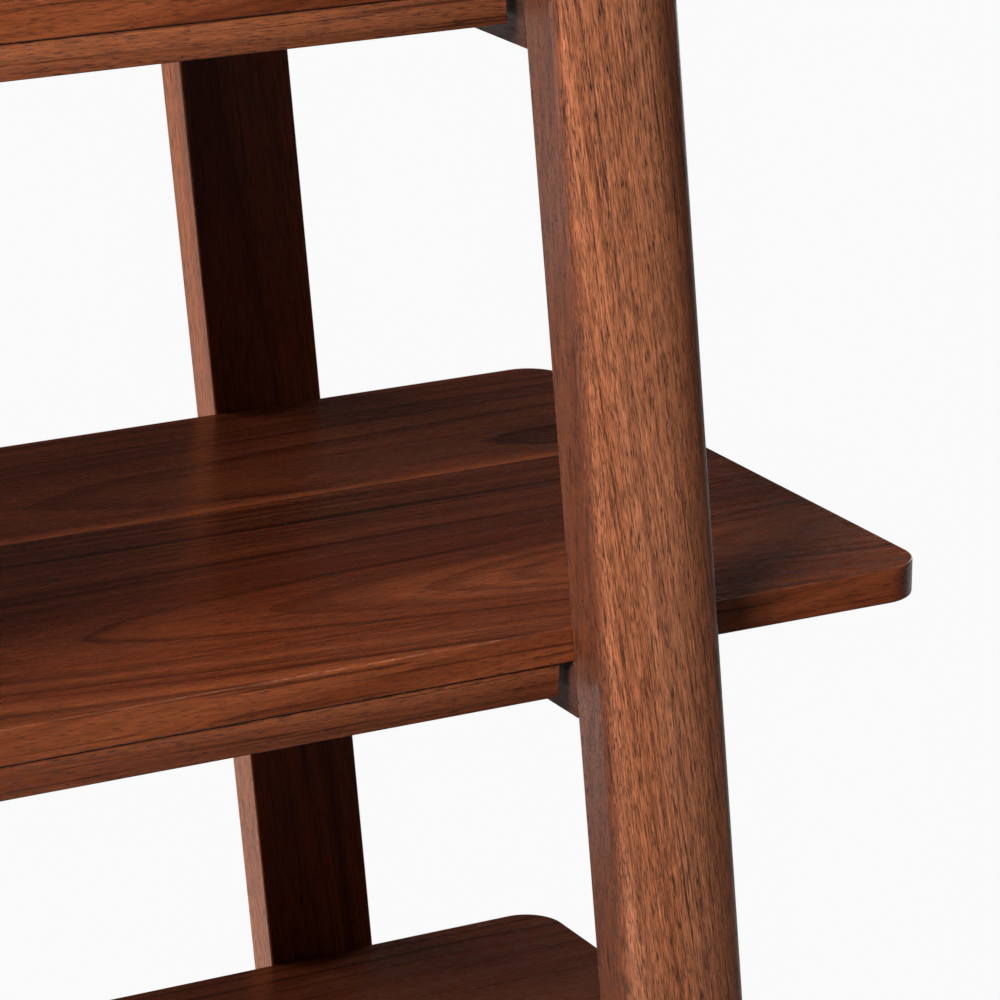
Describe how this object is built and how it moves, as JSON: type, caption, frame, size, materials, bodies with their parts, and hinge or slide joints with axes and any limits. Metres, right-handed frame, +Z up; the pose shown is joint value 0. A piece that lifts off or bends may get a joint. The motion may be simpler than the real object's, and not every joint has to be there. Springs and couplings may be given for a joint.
{
  "type": "ladder shelf",
  "caption": "Walnut A-frame ladder shelf: leaning side frames of rounded front posts, flat back posts and rungs carry long boards with rounded corners.",
  "frame": {"origin": "centre of the object's footprint box, on the floor", "axes": "+Z up, +X to the right along the boards, the front with the rounded posts faces -Y"},
  "size_m": [0.916, 0.4779, 1.663],
  "materials": {
    "walnut_board": "satin clear-coated walnut, grain along the board, glued up from staves",
    "walnut_apron": "satin clear-coated walnut, grain along the strip",
    "walnut_rail": "satin clear-coated walnut, grain front to back",
    "walnut_front_post": "satin clear-coated walnut with open pores, grain along the post",
    "walnut_back_post": "satin clear-coated walnut, grain along the post",
    "glide_nylon": "matt dark nylon",
    "zinc_steel": "zinc-plated",
    "beech": "raw beech dowel",
    "brass": "turned brass"
  },
  "bodies": {
    "root": {"shelf_board_1": "walnut_board", "shelf_board_2": "walnut_board", "shelf_board_3": "walnut_board", "shelf_board_4": "walnut_board", "shelf_board_5": "walnut_board", "front_apron_1": "walnut_apron", "front_apron_2": "walnut_apron", "front_apron_3": "walnut_apron", "front_apron_4": "walnut_apron", "front_apron_5": "walnut_apron", "back_apron_1": "walnut_apron", "back_apron_2": "walnut_apron", "back_apron_3": "walnut_apron", "back_apron_4": "walnut_apron", "back_apron_5": "walnut_apron", "side_rail_1_left": "walnut_rail", "side_rail_1_right": "walnut_rail", "side_rail_2_left": "walnut_rail", "side_rail_2_right": "walnut_rail", "side_rail_3_left": "walnut_rail", "side_rail_3_right": "walnut_rail", "side_rail_4_left": "walnut_rail", "side_rail_4_right": "walnut_rail", "side_rail_5_left": "walnut_rail", "side_rail_5_right": "walnut_rail", "front_post_left": "walnut_front_post", "front_post_right": "walnut_front_post", "back_post_left": "walnut_back_post", "back_post_right": "walnut_back_post", "front_glide_left": "glide_nylon", "front_glide_right": "glide_nylon", "back_glide_left": "glide_nylon", "back_glide_right": "glide_nylon", "wall_bracket_left": "zinc_steel", "wall_bracket_right": "zinc_steel", "glide_nails": "zinc_steel", "rail_dowels": "beech", "board_screws": "zinc_steel", "board_inserts": "brass", "apron_screws": "zinc_steel", "bracket_screws": "zinc_steel"}
  },
  "joints": []
}
